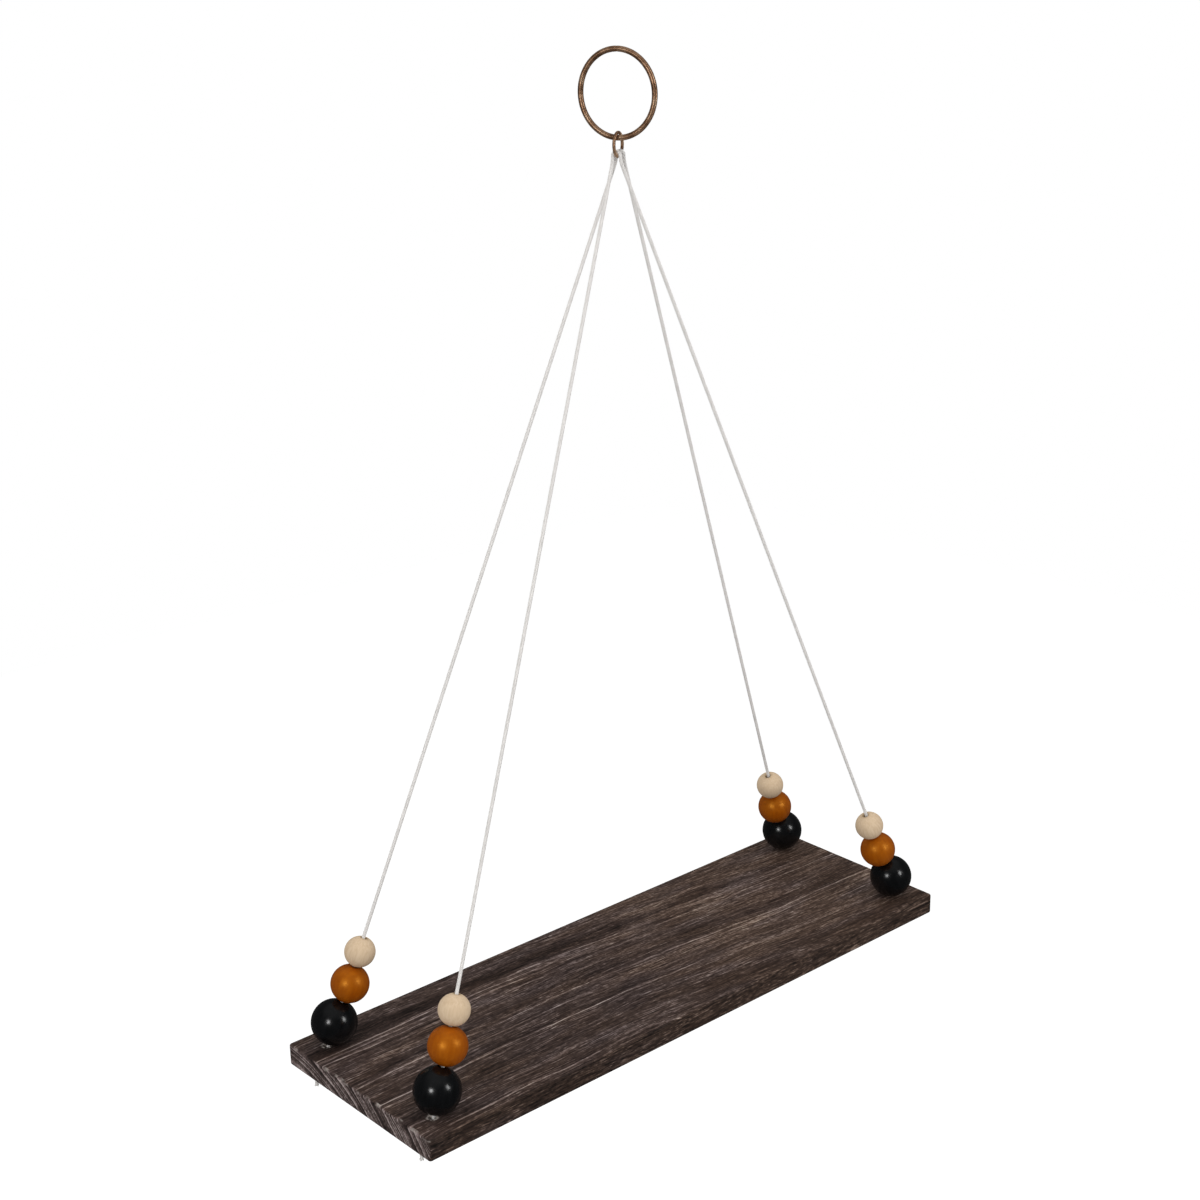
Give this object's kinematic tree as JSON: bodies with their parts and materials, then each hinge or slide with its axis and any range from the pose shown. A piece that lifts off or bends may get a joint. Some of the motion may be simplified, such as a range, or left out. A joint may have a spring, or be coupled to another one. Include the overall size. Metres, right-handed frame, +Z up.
{
  "type": "hanging rope shelf",
  "caption": "Wooden plank shelf hung by cords from a small ring on a larger hanging ring, with wooden beads that slide on the cords above each corner.",
  "frame": {"origin": "the hang point: inside the top of the large ring, where a hook or nail carries it", "axes": "+X along the board, to the right as seen from the front; +Y from the front edge of the board to its back edge, which faces the wall; +Z up"},
  "size_m": [0.46, 0.15, 0.6365],
  "materials": {
    "aged_brass": "aged, half polished",
    "stained_wood": "dark stain with a whitish rub in the grain, matte",
    "white_cord": "braided, matte",
    "black_lacquered_wood": "high gloss lacquer",
    "amber_stained_wood": "satin varnish over amber stain",
    "natural_wood": "bare, sanded"
  },
  "bodies": {
    "ring": {"hanging_ring": "aged_brass"},
    "link": {"small_ring": "aged_brass"},
    "shelf": {"shelf_board": "stained_wood", "front_cord": "white_cord", "back_cord": "white_cord", "knot_front_left": "white_cord", "knot_front_right": "white_cord", "knot_back_left": "white_cord", "knot_back_right": "white_cord"},
    "black_front_left": {"black_bead_front_left": "black_lacquered_wood"},
    "black_front_right": {"black_bead_front_right": "black_lacquered_wood"},
    "black_back_left": {"black_bead_back_left": "black_lacquered_wood"},
    "black_back_right": {"black_bead_back_right": "black_lacquered_wood"},
    "amber_front_left": {"amber_bead_front_left": "amber_stained_wood"},
    "amber_front_right": {"amber_bead_front_right": "amber_stained_wood"},
    "amber_back_left": {"amber_bead_back_left": "amber_stained_wood"},
    "amber_back_right": {"amber_bead_back_right": "amber_stained_wood"},
    "natural_front_left": {"natural_bead_front_left": "natural_wood"},
    "natural_front_right": {"natural_bead_front_right": "natural_wood"},
    "natural_back_left": {"natural_bead_back_left": "natural_wood"},
    "natural_back_right": {"natural_bead_back_right": "natural_wood"}
  },
  "joints": [
    {"name": "small_ring_swing", "type": "hinge", "parent": "ring", "child": "link", "pos_m": [0, 0, -0.04975], "axis": [0.2924, -0.9563, 0], "range_deg": [-40, 40]},
    {"name": "shelf_swing", "type": "hinge", "parent": "link", "child": "shelf", "pos_m": [0, 0, -0.06014], "axis": [0.891, 0.454, 0], "range_deg": [-40, 40]},
    {"name": "black_front_left_slide", "type": "slide", "parent": "shelf", "child": "black_front_left", "axis": [0.357, 0.097, 0.9291], "range_m": [0, 0.13]},
    {"name": "amber_front_left_slide", "type": "slide", "parent": "black_front_left", "child": "amber_front_left", "axis": [0.357, 0.097, 0.9291], "range_m": [0, 0.13]},
    {"name": "natural_front_left_slide", "type": "slide", "parent": "amber_front_left", "child": "natural_front_left", "axis": [0.357, 0.097, 0.9291], "range_m": [0, 0.15]},
    {"name": "black_front_right_slide", "type": "slide", "parent": "shelf", "child": "black_front_right", "axis": [-0.3645, 0.0894, 0.9269], "range_m": [0, 0.13]},
    {"name": "amber_front_right_slide", "type": "slide", "parent": "black_front_right", "child": "amber_front_right", "axis": [-0.3645, 0.0894, 0.9269], "range_m": [0, 0.13]},
    {"name": "natural_front_right_slide", "type": "slide", "parent": "amber_front_right", "child": "natural_front_right", "axis": [-0.3645, 0.0894, 0.9269], "range_m": [0, 0.15]},
    {"name": "black_back_left_slide", "type": "slide", "parent": "shelf", "child": "black_back_left", "axis": [0.3645, -0.0894, 0.9269], "range_m": [0, 0.13]},
    {"name": "amber_back_left_slide", "type": "slide", "parent": "black_back_left", "child": "amber_back_left", "axis": [0.3645, -0.0894, 0.9269], "range_m": [0, 0.13]},
    {"name": "natural_back_left_slide", "type": "slide", "parent": "amber_back_left", "child": "natural_back_left", "axis": [0.3645, -0.0894, 0.9269], "range_m": [0, 0.15]},
    {"name": "black_back_right_slide", "type": "slide", "parent": "shelf", "child": "black_back_right", "axis": [-0.357, -0.097, 0.9291], "range_m": [0, 0.13]},
    {"name": "amber_back_right_slide", "type": "slide", "parent": "black_back_right", "child": "amber_back_right", "axis": [-0.357, -0.097, 0.9291], "range_m": [0, 0.13]},
    {"name": "natural_back_right_slide", "type": "slide", "parent": "amber_back_right", "child": "natural_back_right", "axis": [-0.357, -0.097, 0.9291], "range_m": [0, 0.15]}
  ]
}
